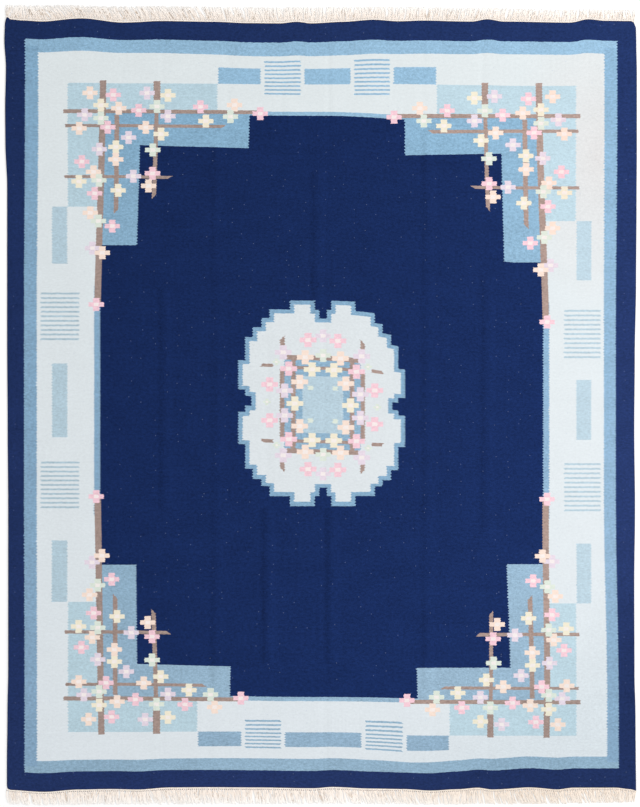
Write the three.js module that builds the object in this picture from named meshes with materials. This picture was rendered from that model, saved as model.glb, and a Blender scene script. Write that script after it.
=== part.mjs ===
// A flat-woven cotton rug that lies face up on a floor, its warp ends left as a fringe at both ends.
// Millimetres, +Z up. X runs across the rug and Y along it. The origin is on the floor, under the middle.
import * as THREE from 'three'

// Driving sizes
const clothWidth = 2440
const clothLength = 2973
const clothThickness = 4
const gap = 0.3 // between the cloth's end and the twined root line of its fringe
const rootLineWidth = 5
const rootLineHeight = 3.4
const lockCount = 144 // at each end
const lockRootWidth = 12.5
const lockTipWidth = 8
const lockTipHeight = 1.8

// Spacing of the cloth's facets
const columnPitch = 52
const rowPitch = 270
const creaseHalfWidth = 14
const cornerInset = 12 // of the grid line nearest to each edge

// How far each end of the cloth waves out past its straight line, from one side to the other
const farEndWaves = [
  { across: -1220, out: 6 },
  { across: -1208, out: 13 },
  { across: -1150, out: 3 },
  { across: -1080, out: -1 },
  { across: -937, out: 11 },
  { across: -774, out: -5 },
  { across: -620, out: 1 },
  { across: -465, out: -2 },
  { across: -341, out: -7 },
  { across: -218, out: -8 },
  { across: -156, out: -2 },
  { across: -94, out: -8 },
  { across: 90, out: -2 },
  { across: 215, out: 6 },
  { across: 308, out: 0 },
  { across: 401, out: 3 },
  { across: 586, out: -1 },
  { across: 648, out: 8 },
  { across: 726, out: -1 },
  { across: 957, out: -5 },
  { across: 1027, out: 8 },
  { across: 1104, out: 2 },
  { across: 1208, out: 1 },
  { across: 1220, out: -4 },
]
const nearEndWaves = [
  { across: -1220, out: -6 },
  { across: -1200, out: 6 },
  { across: -1068, out: 13 },
  { across: -940, out: 4 },
  { across: -813, out: 2 },
  { across: -712, out: 4 },
  { across: -589, out: -4 },
  { across: -403, out: -5 },
  { across: -218, out: -4 },
  { across: -32, out: -1 },
  { across: 30, out: -6 },
  { across: 153, out: 0 },
  { across: 277, out: 2 },
  { across: 385, out: 8 },
  { across: 480, out: 3 },
  { across: 586, out: -3 },
  { across: 648, out: 4 },
  { across: 787, out: -4 },
  { across: 896, out: 4 },
  { across: 973, out: -3 },
  { across: 1128, out: -3 },
  { across: 1196, out: 3 },
  { across: 1220, out: 9 },
]

// How far each side runs in from its straight line, from the near end to the far one
const sideBows = [
  { along: -1487, left: 5, right: 3 },
  { along: -1330, left: 5, right: 6 },
  { along: -1020, left: 10, right: 10 },
  { along: -710, left: 10, right: 11 },
  { along: -400, left: 10, right: 9 },
  { along: -90, left: 8, right: 11 },
  { along: 220, left: 6, right: 8 },
  { along: 530, left: 6, right: 4 },
  { along: 840, left: 6, right: 2 },
  { along: 1150, left: 1, right: 0 },
  { along: 1330, left: 0, right: 1 },
  { along: 1487, left: 2, right: 4 },
]

// Shallow troughs left by folding. One that runs along the rug lies across it at its place, and the other way.
const creases = [
  { runs: 'along', place: -620, from: -1487, to: 1487, depth: 0.6 },
  { runs: 'along', place: -415, from: -1487, to: 1487, depth: 0.8 },
  { runs: 'along', place: -214, from: -1487, to: 1487, depth: 0.6 },
  { runs: 'along', place: 5, from: -1487, to: 1487, depth: 1 },
  { runs: 'along', place: 401, from: -1487, to: 1487, depth: 0.6 },
  { runs: 'along', place: 629, from: -1487, to: 1487, depth: 0.8 },
  { runs: 'across', place: 570, from: -60, to: 660, depth: 0.8 },
]

// Each fringe along its end: how far its locks reach from the cloth, and how far a tip leans to +X for each
// millimetre that it reaches
const farFringe = [
  { across: -1220, reach: 62, lean: 0 },
  { across: -1130, reach: 62, lean: -0.1 },
  { across: -1030, reach: 62, lean: -0.45 },
  { across: -800, reach: 60, lean: -0.4 },
  { across: -560, reach: 60, lean: -0.35 },
  { across: -330, reach: 57, lean: -0.1 },
  { across: 0, reach: 56, lean: 0 },
  { across: 330, reach: 54, lean: 0.1 },
  { across: 620, reach: 50, lean: 0.25 },
  { across: 950, reach: 47, lean: 0.2 },
  { across: 1130, reach: 46, lean: 0 },
  { across: 1220, reach: 46, lean: -0.15 },
]
const nearFringe = [
  { across: -1220, reach: 62, lean: 0.05 },
  { across: -1000, reach: 60, lean: 0.1 },
  { across: -820, reach: 58, lean: -0.25 },
  { across: -640, reach: 58, lean: 0.3 },
  { across: -330, reach: 57, lean: 0 },
  { across: 0, reach: 56, lean: 0.15 },
  { across: 300, reach: 56, lean: 0.3 },
  { across: 480, reach: 56, lean: -0.05 },
  { across: 720, reach: 55, lean: 0.35 },
  { across: 950, reach: 54, lean: 0.2 },
  { across: 1130, reach: 52, lean: 0.45 },
  { across: 1220, reach: 48, lean: 0.1 },
]

// How unevenly the locks lie, as the most that each may differ from the table
const unevenLean = 2.6
const unevenReach = 4
const unevenBend = 0.8
const unevenTip = 1
const bendPlace = 0.5 // of a lock's reach
const bendShare = 0.4 // of its lean that a lock has by its bend
const farSeed = 11
const nearSeed = 29

const dyedCotton = new THREE.MeshStandardMaterial({ color: 0x1b2e5d, roughness: 0.95, metalness: 0 })
const bareCotton = new THREE.MeshStandardMaterial({ color: 0xf2e9df, roughness: 0.95, metalness: 0 })

// The value in a column of a table at a place, eased between the rows on both sides of it
function eased(rows, by, place, column) {
  const next = rows.findIndex((row) => row[by] > place)
  if (next === 0) return rows[0][column]
  if (next < 0) return rows.at(-1)[column]
  const [before, after] = [rows[next - 1], rows[next]]
  const share = (place - before[by]) / (after[by] - before[by])
  const smooth = share * share * (3 - 2 * share)
  return before[column] + smooth * (after[column] - before[column])
}

// A function that gives the same numbers between -1 and 1 on every run
function unevenness(seed) {
  let state = seed
  return () => {
    state = (state * 1664525 + 1013904223) % 4294967296
    return (state / 4294967296) * 2 - 1
  }
}

// Where the even weave's point lies on the real, uneven cloth
function onCloth(across, along) {
  const left = -clothWidth / 2 + eased(sideBows, 'along', along, 'left')
  const right = clothWidth / 2 - eased(sideBows, 'along', along, 'right')
  const near = -clothLength / 2 - eased(nearEndWaves, 'across', across, 'out')
  const far = clothLength / 2 + eased(farEndWaves, 'across', across, 'out')
  const x = left + (across / clothWidth + 0.5) * (right - left)
  const y = near + (along / clothLength + 0.5) * (far - near)
  return [x, y]
}

// How deep the creases press the cloth's face at a point of the even weave
function creaseDepth(across, along) {
  return creases.reduce((deepest, crease) => {
    const [off, on] = crease.runs === 'along' ? [across, along] : [along, across]
    const near = Math.max(0, 1 - Math.abs(off - crease.place) / creaseHalfWidth)
    const inside = on >= crease.from && on <= crease.to
    return Math.max(deepest, inside ? near * crease.depth : 0)
  }, 0)
}

// Grid lines over one direction of the cloth: both edges, even steps, and three lines for each crease
function gridLines(length, pitch, runs) {
  const half = length / 2
  const pressed = creases
    .filter((crease) => crease.runs === runs)
    .flatMap(({ place }) => [place - creaseHalfWidth, place, place + creaseHalfWidth])
  const fixed = [-half, -half + cornerInset, ...pressed, half - cornerInset, half]
  const steps = Math.round(length / pitch)
  const even = Array.from({ length: steps - 1 }, (_, i) => -half + ((i + 1) * length) / steps)
  const free = even.filter((line) => fixed.every((other) => Math.abs(line - other) > pitch / 3))
  return [...fixed, ...free].sort((a, b) => a - b)
}

const columns = gridLines(clothWidth, columnPitch, 'along')
const rows = gridLines(clothLength, rowPitch, 'across')

// The cloth, one closed sheet: a flat back, a face with creases, and walls round the uneven edge
function makeCloth() {
  const points = []
  for (const face of ['back', 'front']) {
    for (const along of rows) {
      for (const across of columns) {
        const z = face === 'back' ? 0 : clothThickness - creaseDepth(across, along)
        points.push(...onCloth(across, along), z)
      }
    }
  }
  const perFace = rows.length * columns.length
  const at = (row, column, face) => face * perFace + row * columns.length + column
  const triangles = []
  const quad = (a, b, c, d) => triangles.push(a, b, c, a, c, d)
  const [lastRow, lastColumn] = [rows.length - 1, columns.length - 1]
  for (let r = 0; r < lastRow; r++) {
    for (let c = 0; c < lastColumn; c++) {
      quad(at(r, c, 1), at(r, c + 1, 1), at(r + 1, c + 1, 1), at(r + 1, c, 1))
      quad(at(r, c, 0), at(r + 1, c, 0), at(r + 1, c + 1, 0), at(r, c + 1, 0))
    }
  }
  for (let c = 0; c < lastColumn; c++) {
    quad(at(0, c, 0), at(0, c + 1, 0), at(0, c + 1, 1), at(0, c, 1))
    quad(at(lastRow, c + 1, 0), at(lastRow, c, 0), at(lastRow, c, 1), at(lastRow, c + 1, 1))
  }
  for (let r = 0; r < lastRow; r++) {
    quad(at(r + 1, 0, 0), at(r, 0, 0), at(r, 0, 1), at(r + 1, 0, 1))
    quad(at(r, lastColumn, 0), at(r + 1, lastColumn, 0), at(r + 1, lastColumn, 1), at(r, lastColumn, 1))
  }
  const geometry = new THREE.BufferGeometry()
  geometry.setAttribute('position', new THREE.Float32BufferAttribute(points, 3))
  geometry.setIndex(triangles)
  geometry.computeVertexNormals()
  return geometry
}

// One fringe, seen from above as a comb: the twined root line along the cloth's end, and the locks that it
// holds. The end is 1 for the far one and -1 for the near one.
function makeFringe(end, table, seed) {
  const uneven = unevenness(seed)
  const edge = columns.map((across) => onCloth(across, (end * clothLength) / 2))
  const edgeRows = edge.map(([x, y]) => ({ x, y }))
  const endAt = (x) => eased(edgeRows, 'x', x, 'y')
  const [left, right] = [edge[0][0], edge.at(-1)[0]]
  const away = (x, distance) => new THREE.Vector2(x, endAt(x) + end * distance)

  const inner = edge.map(([x, y]) => new THREE.Vector2(x, y + end * gap))
  const rootLine = gap + rootLineWidth
  const pitch = (right - left) / lockCount
  const outer = [away(left, rootLine)]
  for (let i = 0; i < lockCount; i++) {
    const root = left + (i + 0.5) * pitch
    const reach = eased(table, 'across', root, 'reach') + unevenReach * uneven()
    const lean = eased(table, 'across', root, 'lean') * reach + unevenLean * uneven()
    const bend = root + lean * bendShare + unevenBend * uneven()
    const tip = root + lean
    const bendWidth = (lockRootWidth + lockTipWidth) / 2
    const base = endAt(root)
    const put = (x, distance) => outer.push(new THREE.Vector2(x, base + end * distance))
    outer.push(away(root - lockRootWidth / 2, rootLine))
    put(bend - bendWidth / 2, reach * bendPlace)
    put(tip - lockTipWidth / 2, reach + unevenTip * uneven())
    put(tip + lockTipWidth / 2, reach + unevenTip * uneven())
    put(bend + bendWidth / 2, reach * bendPlace)
    outer.push(away(root + lockRootWidth / 2, rootLine))
  }
  outer.push(away(right, rootLine))

  const comb = new THREE.Shape([...inner, ...outer.reverse()])
  const geometry = new THREE.ExtrudeGeometry(comb, { depth: 1, bevelEnabled: false })
  const place = geometry.attributes.position
  for (let i = 0; i < place.count; i++) {
    const [x, y, top] = [place.getX(i), place.getY(i), place.getZ(i) > 0]
    const distance = Math.max(0, end * (y - endAt(x)))
    const share = Math.min(1, distance / eased(table, 'across', x, 'reach'))
    place.setZ(i, top ? rootLineHeight + share * (lockTipHeight - rootLineHeight) : 0)
  }
  geometry.computeVertexNormals()
  return geometry
}

const rug = new THREE.Group()

function add(name, geometry, material) {
  const mesh = new THREE.Mesh(geometry, material)
  mesh.name = name
  rug.add(mesh)
  return mesh
}

add('cloth', makeCloth(), dyedCotton)
add('fringe_far', makeFringe(1, farFringe, farSeed), bareCotton)
add('fringe_near', makeFringe(-1, nearFringe, nearSeed), bareCotton)

// The waves and the tips are uneven, so the middle of the whole outline is moved to the origin
const outline = new THREE.Box3().setFromObject(rug)
const middle = outline.getCenter(new THREE.Vector3())
rug.position.set(-middle.x, -middle.y, 0)
rug.updateMatrixWorld(true)

export default rug
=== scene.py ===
"""The looks of a flat-woven cotton rug that lies face up on a pale floor.

Lengths are metres, X across the rug and Y along it, +Z up out of its patterned face. The woven pattern is
charted in counts from the middle of the rug outwards, as a weaver reads it, so that one quarter of the chart
serves all four. The unevenness of hand weaving is laid over the chart where the cloth's mesh is made.
"""
import logging
import math
from collections.abc import Callable
from dataclasses import dataclass, field
from enum import Enum

import bpy
import numpy as np
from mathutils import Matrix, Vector


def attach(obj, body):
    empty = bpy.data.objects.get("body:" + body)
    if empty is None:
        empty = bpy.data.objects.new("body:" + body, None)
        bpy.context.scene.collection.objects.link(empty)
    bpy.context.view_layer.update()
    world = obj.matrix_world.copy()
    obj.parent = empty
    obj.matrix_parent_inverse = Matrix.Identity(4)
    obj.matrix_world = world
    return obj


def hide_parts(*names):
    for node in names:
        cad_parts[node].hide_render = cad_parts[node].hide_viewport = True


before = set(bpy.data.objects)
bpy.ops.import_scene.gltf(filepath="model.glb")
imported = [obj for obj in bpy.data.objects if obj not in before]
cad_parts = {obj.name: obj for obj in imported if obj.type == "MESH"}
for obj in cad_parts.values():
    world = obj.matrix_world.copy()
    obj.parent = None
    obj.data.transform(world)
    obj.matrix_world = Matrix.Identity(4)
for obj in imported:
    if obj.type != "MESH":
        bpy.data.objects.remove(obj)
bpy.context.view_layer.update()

LOG = logging.getLogger("rug")
BODY = "root"
FLOOR_NAME = "pale_floor"
MM = 0.001
TURN = 2 * math.pi
BLOSSOM_LAYERS = 3  # the most blossoms that one face of the cloth can carry

Number = float | int
Colour = tuple[float, float, float, float]
Rows = tuple[tuple[float, ...], ...]
Given = dict | None


def linear(srgb: tuple[int, int, int]) -> Colour:
    """Turns a colour as it shows on a screen into the shader's linear one.

    Args:
        srgb: Red, green and blue from 0 to 255.

    Returns:
        The linear colour with an alpha of 1.
    """
    shares = [value / 255 for value in srgb]
    plain = [s / 12.92 if s <= 0.04045 else ((s + 0.055) / 1.055) ** 2.4 for s in shares]
    return (*plain, 1.0)


class Dye(Enum):
    """The dyed cottons, some in two lots, one at the rug's far end and one at its near end."""

    BORDER_NAVY = ((26, 43, 85), (32, 48, 91))
    FIELD_NAVY = ((18, 36, 78), (20, 39, 84))
    GUARD_BLUE = ((136, 172, 198), (136, 165, 186))
    SIDE_BLUE = ((125, 161, 188), (128, 158, 184))
    OUTLINE_BLUE = ((121, 158, 186), (123, 157, 183))
    BAR_BLUE = ((138, 175, 201), (135, 163, 185))
    MID_BLUE = ((122, 161, 188), (141, 168, 188))
    LIGHT_BLUE = ((175, 199, 210),)
    SKY_BLUE = ((172, 194, 206),)
    RIB_BLUE = ((166, 188, 200),)
    ICE = ((213, 220, 222), (213, 220, 225))
    PALE = ((208, 215, 218), (214, 220, 224))
    BROWN = ((151, 133, 126),)
    PINK = ((231, 193, 204),)
    PEACH = ((236, 215, 202),)
    YELLOW = ((232, 224, 203),)
    MINT = ((211, 220, 209),)
    LILAC = ((217, 205, 217),)
    HEART = ((238, 230, 227),)

    @property
    def lots(self) -> tuple[Colour, Colour]:
        """The linear colours of its far and its near lot."""
        return linear(self.value[0]), linear(self.value[-1])


@dataclass(frozen=True)
class Blossom:
    """One blossom of the chart: where its middle lies, in counts, its dye, and how large it is."""

    across: float
    along: float
    dye: Dye
    size: float = 1.0


@dataclass(frozen=True)
class Patch:
    """One plain rectangle of the chart, in counts from the middle, the same in all four quarters."""

    across: tuple[float, float]
    along: tuple[float, float]
    dye: Dye


class Cut(Enum):
    """Which end of a branch is cut at a slant: neither, the one towards the rug's middle, or the other."""

    SQUARE = 0
    INNER = 1
    OUTER = 2


@dataclass(frozen=True)
class Branch:
    """One straight branch, in counts: whether it runs along the rug, its middle line, half width and ends.

    drift is how far its middle line moves outwards for each count towards the rug's middle, and slope is how
    far its cut end is cut back for each count over it.
    """

    upright: bool
    place: float
    half: float
    ends: tuple[float, float]
    drift: float = 0.0
    cut: Cut = Cut.INNER
    slope: float = 1.3


@dataclass(frozen=True)
class Ribs:
    """One block of thin weft stripes in the border, in counts, and how thick each stripe is."""

    across: tuple[float, float]
    along: tuple[float, float]
    stripes: int
    dye: Dye
    thick: float = 1.55


@dataclass(frozen=True)
class Crease:
    """A soft trough left by folding, in mm. upright ones run along the rug at a place across it."""

    upright: bool
    place: float
    start: float
    end: float
    depth: float


# The corner spray, one quarter, from the rug's ends towards its middle. Later blossoms lie over earlier ones.
CORNER_BLOSSOMS = (
    Blossom(173, 285, Dye.PEACH), Blossom(156, 283, Dye.PINK), Blossom(131, 285, Dye.LILAC),
    Blossom(115, 283, Dye.YELLOW), Blossom(165, 273, Dye.YELLOW), Blossom(152, 270, Dye.PEACH),
    Blossom(138, 268, Dye.PINK), Blossom(123, 272, Dye.MINT), Blossom(97, 272, Dye.PINK),
    Blossom(75, 274, Dye.PEACH), Blossom(56, 266, Dye.PINK), Blossom(177, 264, Dye.LILAC),
    Blossom(165, 261, Dye.MINT), Blossom(115, 263, Dye.LILAC), Blossom(94, 259, Dye.YELLOW),
    Blossom(78, 263, Dye.MINT), Blossom(181, 252, Dye.PEACH), Blossom(160, 253, Dye.PINK),
    Blossom(132, 253, Dye.PEACH), Blossom(120, 247, Dye.YELLOW), Blossom(145, 243, Dye.LILAC),
    Blossom(154, 234, Dye.YELLOW), Blossom(166, 232, Dye.LILAC), Blossom(126, 232, Dye.MINT),
    Blossom(154, 223, Dye.PEACH), Blossom(179, 221, Dye.PINK), Blossom(170, 212, Dye.PEACH),
    Blossom(126, 211, Dye.PINK), Blossom(141, 208, Dye.LILAC), Blossom(166, 204, Dye.MINT),
    Blossom(181, 203, Dye.YELLOW), Blossom(129, 199, Dye.PEACH), Blossom(152, 194, Dye.YELLOW),
    Blossom(169, 191, Dye.PINK), Blossom(172, 174, Dye.PEACH), Blossom(166, 166, Dye.MINT),
    Blossom(156, 161, Dye.PINK), Blossom(170, 143, Dye.LILAC), Blossom(163, 138, Dye.PEACH),
    Blossom(167, 86, Dye.PINK),
)

# The medallion's blossoms, one quarter. Those with a 0 lie on a middle line and are shared by two quarters.
MIDDLE_BLOSSOMS = (
    Blossom(0, 63, Dye.LILAC), Blossom(29, 47, Dye.LILAC, 1.1), Blossom(11, 59, Dye.PINK, 1.1),
    Blossom(39, 16, Dye.PINK, 1.1), Blossom(0, 45, Dye.MINT), Blossom(34, 38, Dye.MINT, 0.5),
    Blossom(41, 0, Dye.MINT, 0.5), Blossom(28, 11, Dye.LILAC, 1.1), Blossom(13, 43, Dye.PEACH, 1.1),
    Blossom(25, 32, Dye.PINK, 1.1), Blossom(8, 32, Dye.YELLOW, 1.1), Blossom(17, 20, Dye.PEACH, 1.1),
    Blossom(20.5, 0, Dye.YELLOW, 1.1),
)

# The plain areas, each over those before it
GROUND = (
    Patch((0, 220), (0, 332), Dye.GUARD_BLUE),
    Patch((211, 220), (0, 326), Dye.SIDE_BLUE),
    Patch((0, 211), (0, 320.5), Dye.ICE),
    Patch((0, 168.5), (0, 104), Dye.SIDE_BLUE),
    Patch((0, 70), (0, 268), Dye.GUARD_BLUE),
    Patch((0, 164.2), (0, 264.3), Dye.FIELD_NAVY),
    Patch((164.3, 188.5), (180, 294.7), Dye.LIGHT_BLUE),
    Patch((87.7, 188.5), (267.4, 294.7), Dye.LIGHT_BLUE),
    Patch((136.8, 164.3), (145.5, 267.4), Dye.MID_BLUE),
    Patch((63.9, 164.3), (236, 267.4), Dye.MID_BLUE),
    Patch((189.2, 200.2), (126.4, 180), Dye.SKY_BLUE),
    Patch((189.2, 200.2), (-31.8, 31.8), Dye.SKY_BLUE),
    Patch((55.8, 87), (294.7, 309.3), Dye.BAR_BLUE),
    Patch((-23.8, 23.8), (294.7, 309.3), Dye.BAR_BLUE),
)
SIDE_RIBS = Ribs((180.3, 208.2), (52.4, 97.2), 11, Dye.RIB_BLUE, 1.75)
FAR_RIBS = Ribs((26.8, 52.8), (284.7, 316.1), 9, Dye.GUARD_BLUE)
NEAR_RIBS = Ribs((26.8, 52.8), (284.3, 310.9), 8, Dye.GUARD_BLUE)

BRANCHES = (
    Branch(True, 163.4, 2.3, (86, 297), 0.0127, Cut.SQUARE),
    Branch(True, 153.4, 1.7, (175.2, 264)),
    Branch(True, 123.1, 1.5, (188.7, 276), 0.02),
    Branch(True, 123, 2.5, (276, 296.6), 0.0, Cut.SQUARE),
    Branch(False, 267.2, 1.8, (59.5, 191.7)),
    Branch(False, 254.4, 1.4, (82.6, 190.3)),
    Branch(False, 207.5, 1.4, (113.6, 191)),
)

# The medallion's stepped outline, one quarter: up to each distance along, how far it reaches across
OUTLINE_STEPS = (
    (4, 52.5), (9.2, 57), (38.7, 62.1), (60.3, 57), (69.3, 51.4), (77.6, 45), (85.9, 39), (94.3, 24.1),
)
NOTCH_STEPS = ((77.6, 0), (85.9, 2.8), (94.3, 6.1))  # and how far its notch at each end reaches across
OUTLINE_BAND = (3.2, 3.7)  # how wide its outline is, across and along
RING = Patch((-28.2, 28.2), (-40.5, 40.5), Dye.MID_BLUE)
POOL = Patch((-15, 15), (-25.7, 25.7), Dye.SKY_BLUE)
LATTICE = (
    Patch((28.2, 31.5), (-31.5, 31.5), Dye.BROWN),
    Patch((20, 23.4), (-44.7, 44.7), Dye.BROWN),
    Patch((-26.4, 26.4), (40.3, 44.7), Dye.BROWN),
    Patch((-23.4, 23.4), (31.8, 34.8), Dye.BROWN),
)
TWIGS = (
    Branch(True, 29.7, 1.7, (52.6, 60.4), cut=Cut.OUTER),
    Branch(False, 34.5, 1.6, (36.5, 45), cut=Cut.OUTER, slope=0.6),
)
POOL_CORNERS = Patch((7.2, 11), (12.9, 16.8), Dye.MINT)
LATTICE_DROP = 1.2  # how far the medallion's inside lies nearer than its outline
LATTICE_LEAN = 0.027  # and how much nearer for each count to the right

# A blossom is a cross of five cells
PETAL_REACH = (5.65, 5.85)
PETAL_HALF = (2.4, 2.0)
HEART_HALF = (1.8, 1.6)

# How far, in mm to +X, the weave lies off the chart at each distance across: left and right, first towards
# the far end, then in the middle, then towards the near end
ACROSS_DRIFTS: Rows = (
    (0, 28, 28, 11, 11, 11, 11), (124, 64, -8, 8, 10, -13, 35), (290, 59, -6, 6, 5, -16, 44),
    (456, 58, -5, 6, 3, -20, 44), (503, 42, -14, 5, 5, -19, 43), (597, 9, -2, 3, 3, 9, 21),
    (660, 8, -4, 2, 3, 5, 16), (711, 16, -13, -3, 4, 3, 26), (796, 11, -7, 5, 4, 5, 21),
    (854, 10, -5, 3, 8, 3, 26), (890, 9, -2, 1, 9, 3, 21), (935, 10, 1, 5, 5, 8, 12),
    (980, 3, 9, 6, 6, 5, 10), (1041, 4, 8, 4, 6, 1, 6), (1096, 7, 1, 1, -1, 2, 12),
    (1144, 2, 4, -2, -2, 0, 10),
)
# How far, in mm to +Y, it lies off the chart at each distance along: at the left shoulder, the middle and the
# right shoulder, first in the far half and then in the near one
MIDDLE_DRIFTS: Rows = (
    (0, 17, 7, -7, 17, 7, -7), (40, 21, 7, -12, 12, 7, -2), (140, 10, 5, -23, 12, 4, 1),
    (170, 7, 5, -27, 13, 4, 2), (256, 6, 4, -31, 10, 6, 4), (300, 6, 5, -32, 9, 6, 2),
    (330, 8, 4, -34, 24, 10, 22), (370, 7, 2, -26, 9, 13, 12), (400, 6, 2, -22, 9, 9, 9),
    (1003, -12, -12, -39, -9, -9, -14), (1071, -7, -8, -28, -5, -7, -12), (1123, -4, -5, -19, -3, -6, -12),
    (1160, -6, -8, -18, -4, -8, -13), (1203, -9, -12, -11, -9, -10, -18),
    (1253, -12, -13, -12, -11, -14, -25), (1315, -12, -13, -9, -6, -9, -22),
    (1362, -11, -10, -6, -6, -7, -19), (1411, -5, -4, -4, -4, -5, -9), (1486, 0, 0, 0, 0, 0, 0),
)
# The same at the left and the right flank
FLANK_DRIFTS: Rows = (
    (0, 17, -19, 17, -19), (135, 25, -39, 10, 0), (223, 28, -42, 3, -3), (413, 21, -46, 14, 2),
    (537, 9, -55, 14, 1), (610, -2, -69, -1, 2), (684, 7, -59, 10, 4), (765, 1, -55, 3, -3),
    (812, 6, -45, 7, 0), (863, 1, -43, 6, -3), (901, 0, -43, 2, -8), (1003, 3, -31, 2, -13),
    (1071, -2, -24, 1, -15), (1136, 0, -19, 1, -13), (1211, -5, -20, -4, -25), (1253, -9, -19, -12, -27),
    (1362, 1, -6, -8, 1), (1411, 3, -5, -3, 4), (1486, 0, 0, 0, 0),
)
# At each place across, how far in mm an end of the cloth waves out past its straight line
FAR_WAVES: Rows = (
    (-1220, 14), (-1213, 17), (-1204, 7), (-1150, 3), (-1085, -1), (-932, 11), (-774, -5), (-620, 1),
    (-465, -2), (-341, -7), (-218, -8), (-156, -2), (-94, -8), (90, -2), (215, 6), (308, 0), (401, 3),
    (586, -1), (648, 8), (726, -1), (957, -5), (1027, 8), (1104, 2), (1208, 1), (1220, -4),
)
NEAR_WAVES: Rows = (
    (-1220, 1), (-1207, 6), (-1068, 13), (-940, 4), (-813, 2), (-712, 4), (-589, -4), (-403, -5),
    (-218, -4), (-32, -1), (30, -6), (153, 0), (277, 2), (385, 8), (480, 3), (586, -3), (648, 4), (787, -4),
    (896, 4), (973, -3), (1128, -3), (1196, 3), (1220, 9),
)
# At each place along, how far in mm the left and the right side run in from their straight lines
SIDE_BOWS: Rows = (
    (-1487, 11, -1), (-1465, 8, -1), (-1380, 8, 0), (-1200, 10, 1), (-1020, 13, 5), (-700, 13, 6),
    (-400, 13, 3), (-90, 11, 6), (220, 9, 4), (530, 9, -1), (840, 9, -3), (1020, 2, -4), (1150, 1, -4),
    (1305, 4, -4), (1400, -2, -2), (1460, 0, -1), (1487, 6, 8),
)
CREASES = (
    Crease(True, -620, -1487, 1487, 1.0),
    Crease(True, -415, -1487, 1487, 1.3),
    Crease(True, -214, -1487, 1487, 1.0),
    Crease(True, 5, -1487, 1487, 1.5),
    Crease(True, 401, -1487, 1487, 1.0),
    Crease(True, 629, -1487, 1487, 1.3),
    Crease(False, 570, -60, 660, 1.2),
)
# The painted shade and highlight lines of old folds in the dark field, in mm: X, from Y, to Y, and how strong
# each is
PAINTED_FOLD_LINES: Rows = (
    (-618, -400, 450, 0.9), (-417, -1100, 1000, 0.6), (-220, -1000, -400, 1.2), (-27, 350, 900, 0.85),
    (27, -1000, -400, 0.95), (398, -1100, 1050, 0.7), (626, -500, 500, 0.85),
)
# At each place across, a fringe's reach in mm, and how far its tips lean to +X for each mm of it
FAR_LIES: Rows = (
    (-1220, 62, 0.2), (-1130, 62, -0.1), (-1030, 62, -0.75), (-800, 60, -0.6), (-560, 60, -0.5),
    (-330, 57, -0.2), (0, 57, 0), (330, 57, 0.1), (620, 53, 0.25), (950, 48, 0.2), (1130, 46, 0),
    (1220, 46, -0.15),
)
NEAR_LIES: Rows = (
    (-1220, 62, 0.3), (-1000, 63, 0.2), (-820, 62, -0.15), (-640, 62, 0.35), (-330, 62, 0.1), (0, 61, 0.25),
    (300, 62, 0.4), (480, 62, 0.05), (720, 62, 0.4), (950, 60, 0.3), (1130, 57, 0.3), (1220, 52, -0.2),
)


def read(rows: Rows, column: int, places: np.ndarray, eased: bool = False) -> np.ndarray:
    """Reads a table of measures between its rows.

    Args:
        rows: The table, whose first column is each row's place.
        column: The column to read.
        places: Where it is wanted.
        eased: Whether it levels out at each row.

    Returns:
        The values there.
    """
    stops, values = np.array(rows, float)[:, (0, column)].T
    if not eased:
        return np.interp(places, stops, values)
    held = np.clip(places, stops[0], stops[-1])
    after = np.clip(np.searchsorted(stops, held, side="right"), 1, len(stops) - 1)
    share = risen(stops[after - 1], stops[after], held)
    return values[after - 1] + share * (values[after] - values[after - 1])


def risen(low: float | np.ndarray, high: float | np.ndarray, values: np.ndarray) -> np.ndarray:
    """A smooth rise from 0 at low to 1 at high."""
    share = np.clip((values - low) / (high - low), 0, 1)
    return share * share * (3 - 2 * share)


def link(thing: bpy.types.Object) -> bpy.types.Object:
    """Puts a new object into the scene and gives it back."""
    bpy.context.scene.collection.objects.link(thing)
    return thing


def joined_by(operation: str, turned: bool = False) -> Callable[["Wire", "Wire | Number"], "Wire"]:
    """Makes one of a wire's operators.

    Args:
        operation: What its Math node does.
        turned: Whether the wire comes second.

    Returns:
        The method.
    """

    def work(wire: "Wire", other: "Wire | Number") -> "Wire":
        """The result of the two."""
        return wire.desk.maths(operation, *((other, wire) if turned else (wire, other)))

    return work


@dataclass(frozen=True)
class Wire:
    """One socket of a node, so that maths on it is written as a Python expression.

    A mask is 1 where it holds and 0 elsewhere. to_and_fro folds a value up and down between 0 and a step, and
    at_least raises what is lower than a floor to it.
    """

    desk: "Desk"
    socket: bpy.types.NodeSocket

    __add__ = joined_by("ADD")
    __radd__ = joined_by("ADD", True)
    __sub__ = joined_by("SUBTRACT")
    __rsub__ = joined_by("SUBTRACT", True)
    __mul__ = joined_by("MULTIPLY")
    __rmul__ = joined_by("MULTIPLY", True)
    __truediv__ = joined_by("DIVIDE")
    __pow__ = joined_by("POWER")
    __mod__ = joined_by("FLOORED_MODULO")
    __lt__ = joined_by("LESS_THAN")
    __gt__ = joined_by("GREATER_THAN")
    __and__ = joined_by("MULTIPLY")
    __or__ = joined_by("MAXIMUM")
    to_and_fro = joined_by("PINGPONG")
    at_least = joined_by("MAXIMUM")

    def __abs__(self) -> "Wire":
        """This value without its sign."""
        return self.desk.maths("ABSOLUTE", self)

    def sine(self) -> "Wire":
        """The sine of this value in radians."""
        return self.desk.maths("SINE", self)

    def cosine(self) -> "Wire":
        """The cosine of this value in radians."""
        return self.desk.maths("COSINE", self)

    def between(self, low: Number, high: Number) -> "Wire":
        """A mask that holds from low to high."""
        return self.desk.maths("COMPARE", self, (low + high) / 2, (high - low) / 2)


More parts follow.
